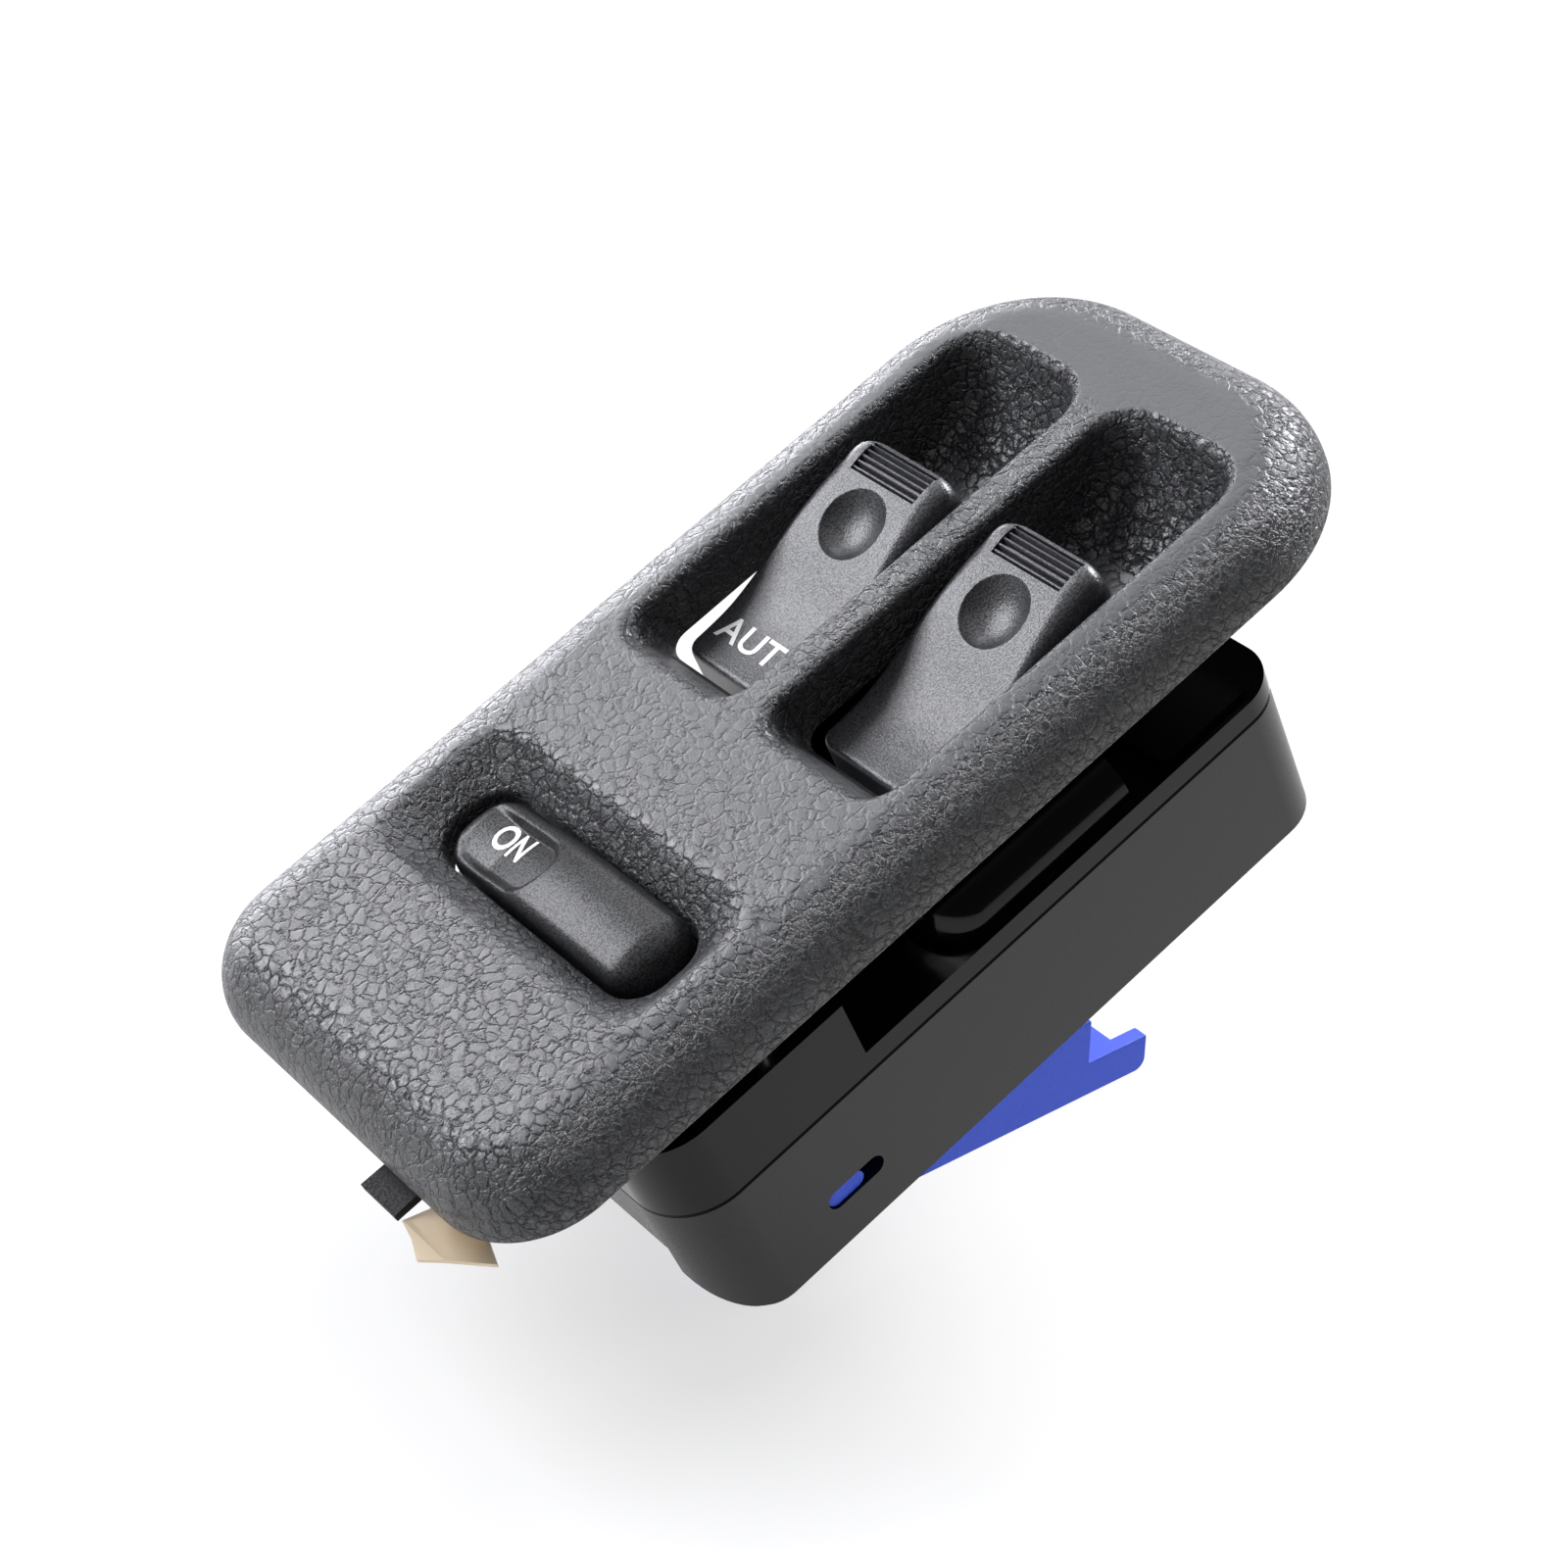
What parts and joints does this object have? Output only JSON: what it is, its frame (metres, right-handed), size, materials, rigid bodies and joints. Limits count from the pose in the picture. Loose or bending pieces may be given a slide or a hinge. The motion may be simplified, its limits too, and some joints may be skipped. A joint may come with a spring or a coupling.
{
  "type": "power window switch",
  "caption": "Driver's power window switch: bezel with two rocking window keys in finger wells, a lock rocker, a circuit board housing and a swinging connector lever.",
  "frame": {"origin": "middle of the plane on which the bezel's rim sits on the door panel", "axes": "+Z out of the bezel towards the user, +X along the bezel towards the finger wells, +Y across the bezel"},
  "size_m": [0.1562, 0.074, 0.0833],
  "materials": {
    "bezel_plastic": "charcoal polypropylene with a leather grain",
    "key_plastic": "dark grey ABS with a fine spark-eroded texture",
    "gloss_case": "black ABS straight from a polished mould",
    "satin_case": "satin black nylon",
    "blue_plastic": "blue PBT",
    "spring_steel": "zinc-plated spring steel, slightly yellow",
    "pin_steel": "drawn steel",
    "screw_steel": "zinc-plated steel",
    "contact_brass": "tinned brass strip",
    "natural_plastic": "natural acetal",
    "board_laminate": "green solder resist on glass-epoxy laminate",
    "header_plastic": "black moulded plastic",
    "capacitor_can": "drawn can"
  },
  "bodies": {
    "housing": {"bezel": "bezel_plastic", "end_clip": "spring_steel", "upper_case": "gloss_case", "lower_case": "satin_case", "key_pivot_pins": "pin_steel", "lock_pivot_pin": "pin_steel", "fixed_contacts": "contact_brass", "circuit_board": "board_laminate", "board_screws": "screw_steel", "connector_header": "header_plastic", "header_terminals": "contact_brass", "relay_left": "header_plastic", "relay_right": "header_plastic", "control_chip": "header_plastic", "filter_capacitor": "capacitor_can", "board_resistors": "header_plastic", "suppressor_diodes": "header_plastic", "case_screws": "screw_steel", "bezel_screws": "screw_steel"},
    "auto_key": {"window_key_auto": "key_plastic", "auto_plunger": "natural_plastic", "auto_return_spring": "pin_steel"},
    "plain_key": {"window_key_plain": "key_plastic", "plain_plunger": "natural_plastic", "plain_return_spring": "pin_steel"},
    "lock": {"lock_rocker": "key_plastic", "lock_plunger": "natural_plastic", "lock_return_spring": "pin_steel"},
    "lever": {"connector_lever": "blue_plastic"},
    "slide": {"connector_slide": "blue_plastic"},
    "auto_seesaw": {"auto_contact": "contact_brass"},
    "plain_seesaw": {"plain_contact": "contact_brass"},
    "lock_seesaw": {"lock_contact": "contact_brass"}
  },
  "joints": [
    {"name": "auto_key_pivot", "type": "hinge", "parent": "housing", "child": "auto_key", "pos_m": [0.01225, 0.0142, -0.006], "axis": [0, 1, 0], "range_deg": [-7, 7], "stiffness_Nm_per_rad": 0.02},
    {"name": "plain_key_pivot", "type": "hinge", "parent": "housing", "child": "plain_key", "pos_m": [0.01225, -0.0142, -0.006], "axis": [0, 1, 0], "range_deg": [-7, 7], "stiffness_Nm_per_rad": 0.02},
    {"name": "lock_pivot", "type": "hinge", "parent": "housing", "child": "lock", "pos_m": [-0.03645, 0, -0.0005], "axis": [1, 0, 0], "range_deg": [0, 8]},
    {"name": "lever_pivot", "type": "hinge", "parent": "housing", "child": "lever", "pos_m": [-0.04685, 0, -0.0395], "axis": [0, -1, 0], "range_deg": [0, 24]},
    {"name": "slide_travel", "type": "slide", "parent": "housing", "child": "slide", "axis": [1, 0, 0], "range_m": [0, 0.0031]},
    {"name": "auto_contact_rock", "type": "hinge", "parent": "housing", "child": "auto_seesaw", "pos_m": [0.01225, 0.0142, -0.02595], "axis": [0, 1, 0], "range_deg": [-5.1, 5.1]},
    {"name": "plain_contact_rock", "type": "hinge", "parent": "housing", "child": "plain_seesaw", "pos_m": [0.01225, -0.0142, -0.02595], "axis": [0, 1, 0], "range_deg": [-5.1, 5.1]},
    {"name": "lock_contact_rock", "type": "hinge", "parent": "housing", "child": "lock_seesaw", "pos_m": [-0.03645, 0, -0.02595], "axis": [1, 0, 0], "range_deg": [-10.1, 0.1]}
  ],
  "couplings": [
    {"joint": "auto_contact_rock", "follows": "auto_key_pivot", "ratio": -0.7143},
    {"joint": "plain_contact_rock", "follows": "plain_key_pivot", "ratio": -0.7143},
    {"joint": "lock_contact_rock", "follows": "lock_pivot", "ratio": -1.25},
    {"joint": "slide_travel", "follows": "lever_pivot", "m_per_rad": 0.007162}
  ]
}
